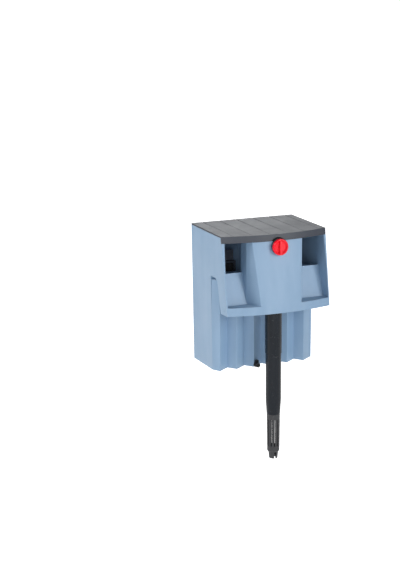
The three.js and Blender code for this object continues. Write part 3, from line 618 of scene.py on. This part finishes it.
def soft_block(node, name, cell, swell, roughness, corner, seed):
    """A cut block of foam, fleece or packed granules that fills its CAD solid: worked at the
    corners, a little hollow on its faces, and uneven."""
    low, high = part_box(node)
    size = high - low
    bm = bmesh.new()
    block(bm, low, high, corner, 2)
    for axis in range(3):
        cuts = max(1, int(size[axis] / cell))
        direction = Vector([1.0 if index == axis else 0.0 for index in range(3)])
        for step in range(1, cuts):
            at = low + direction * size[axis] * step / cuts
            bmesh.ops.bisect_plane(bm, geom=bm.verts[:] + bm.edges[:] + bm.faces[:], plane_co=at,
                                   plane_no=direction, dist=1e-6)
    middle = (low + high) / 2
    bm.normal_update()
    for vert in bm.verts:
        across = [abs(vert.co[i] - middle[i]) / (size[i] / 2) for i in range(3)]
        deep = sorted(across)[1]
        lumpy = noise.noise(vert.co * 260 + Vector((seed, 0, 0))) + 0.5 * noise.noise(vert.co * 700)
        inward = swell * (1 - deep ** 4) + roughness * (0.75 + 0.5 * lumpy)
        vert.co -= vert.normal * max(0.0, inward)
    return new_object(name, bm, 60)


granules = granule_black()
fleece = fibre_white()
foam = open_foam()
for number, side in enumerate(("left", "right")):
    finished_copy(f"cartridge_frame_{side}", f"cartridge_{side}", frame_plastic, "housing",
                  "frame_grey", 0.0004)
    for level in ("lower", "upper"):
        pack = soft_block(f"carbon_pack_{level}_{side}", f"carbon_{level}_{side}", 0.0022, 0.0002, 0.0005,
                          0.0008, number + 3)
        finish(pack, granules, "housing", "activated_carbon", f"carbon_pack_{level}_{side}")
    pad = soft_block(f"fleece_pad_{side}", f"fleece_{side}", 0.003, 0.0002, 0.0003, 0.0008, number + 7)
    finish(pad, fleece, "housing", "white_fleece", f"fleece_pad_{side}")
    sponge = soft_block(f"sponge_{side}", f"sponge_block_{side}", 0.0028, 0.0004, 0.0003, 0.0012, number + 11)
    finish(sponge, foam, "housing", "filter_sponge", f"sponge_{side}")

# ------------------------------------------------------------------ levelling screw
# At the foot of the pleated wall a knurled ABS wheel turns a coarse screw that pushes a
# rubber pad against the glass, so that the filter hangs upright; a bracket keeps the wheel in.
WHEEL_LOW, WHEEL_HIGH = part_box("levelling_wheel")
SCREW_LOW, SCREW_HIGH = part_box("levelling_screw")
SCREW_X = (SCREW_LOW.x + SCREW_HIGH.x) / 2
SCREW_Z = (SCREW_LOW.z + SCREW_HIGH.z) / 2
WHEEL_RADIUS = (WHEEL_HIGH.x - WHEEL_LOW.x) / 2
SCREW_RADIUS = (SCREW_HIGH.x - SCREW_LOW.x) / 2
THREAD_PITCH = 0.003
KNURLS = 24
KNURL_HEIGHT = 0.00028
WHEEL_BORE_RADIUS = 0.00175
THREAD_STEPS = 24


def knurled_wheel():
    """A wheel with every second facet of its rim raised."""
    root = WHEEL_RADIUS - 0.0003
    edge = WHEEL_RADIUS - 0.0007
    bm = lathe([
        (WHEEL_BORE_RADIUS, WHEEL_LOW.y), (edge, WHEEL_LOW.y), (root, WHEEL_LOW.y + 0.0004),
        (root, WHEEL_HIGH.y - 0.0004), (edge, WHEEL_HIGH.y), (WHEEL_BORE_RADIUS, WHEEL_HIGH.y),
    ], (SCREW_X, 0, SCREW_Z), "Y", KNURLS * 2)

    def out_from_axis(face):
        middle = face.calc_center_median()
        return middle - Vector((SCREW_X, middle.y, SCREW_Z))

    rim = [face for face in bm.faces if abs(face.normal.y) < 0.2 and out_from_axis(face).length > 0.003]
    rim.sort(key=lambda face: math.atan2(out_from_axis(face).z, out_from_axis(face).x))
    raised = rim[::2]
    grown = bmesh.ops.extrude_discrete_faces(bm, faces=raised)["faces"]
    for face in grown:
        bmesh.ops.translate(bm, verts=face.verts, vec=face.normal * KNURL_HEIGHT)
    bmesh.ops.holes_fill(bm, edges=[edge for edge in bm.edges if edge.is_boundary])
    bmesh.ops.recalc_face_normals(bm, faces=bm.faces)
    return new_object("knurled_wheel", bm, 30)


def threaded_rod():
    """A rod with a thread spun round it, one turn to each pitch."""
    core = SCREW_RADIUS - 0.00035
    bm = lathe([
        (0, SCREW_LOW.y), (core - 0.0002, SCREW_LOW.y), (core, SCREW_LOW.y + 0.0002),
        (core, SCREW_HIGH.y - 0.0006), (core - 0.0004, SCREW_HIGH.y), (0, SCREW_HIGH.y),
    ], (SCREW_X, 0, SCREW_Z), "Y", 32)
    turns = int((SCREW_HIGH.y - SCREW_LOW.y - 0.004) / THREAD_PITCH)
    start = SCREW_LOW.y + 0.0014
    section = [(core - 0.0002, -0.0008), (SCREW_RADIUS - 0.00005, -0.0003), (SCREW_RADIUS - 0.00005, 0.0003),
               (core - 0.0002, 0.0008)]
    verts = [bm.verts.new((SCREW_X + radius, start + along, SCREW_Z)) for radius, along in section]
    first = bm.faces.new(verts)
    steps = THREAD_STEPS * turns
    bmesh.ops.spin(bm, geom=[first], cent=(SCREW_X, 0, SCREW_Z), axis=(0, 1, 0),
                   dvec=(0, THREAD_PITCH / THREAD_STEPS, 0), angle=2 * math.pi * turns, steps=steps,
                   use_merge=False, use_duplicate=False)
    bmesh.ops.recalc_face_normals(bm, faces=bm.faces)
    return new_object("levelling_thread", bm, 40)


finish(knurled_wheel(), black_abs, "wheel", "black_moulding", "levelling_wheel")
finish(threaded_rod(), black_abs, "screw", "black_moulding", "levelling_screw")
finished_copy("levelling_pad", "glass_pad", rubber, "screw", "black_rubber", 0.0003, 40)
finished_copy("wheel_bracket", "wheel_keeper", black_abs, "housing", "black_moulding", 0.0003)
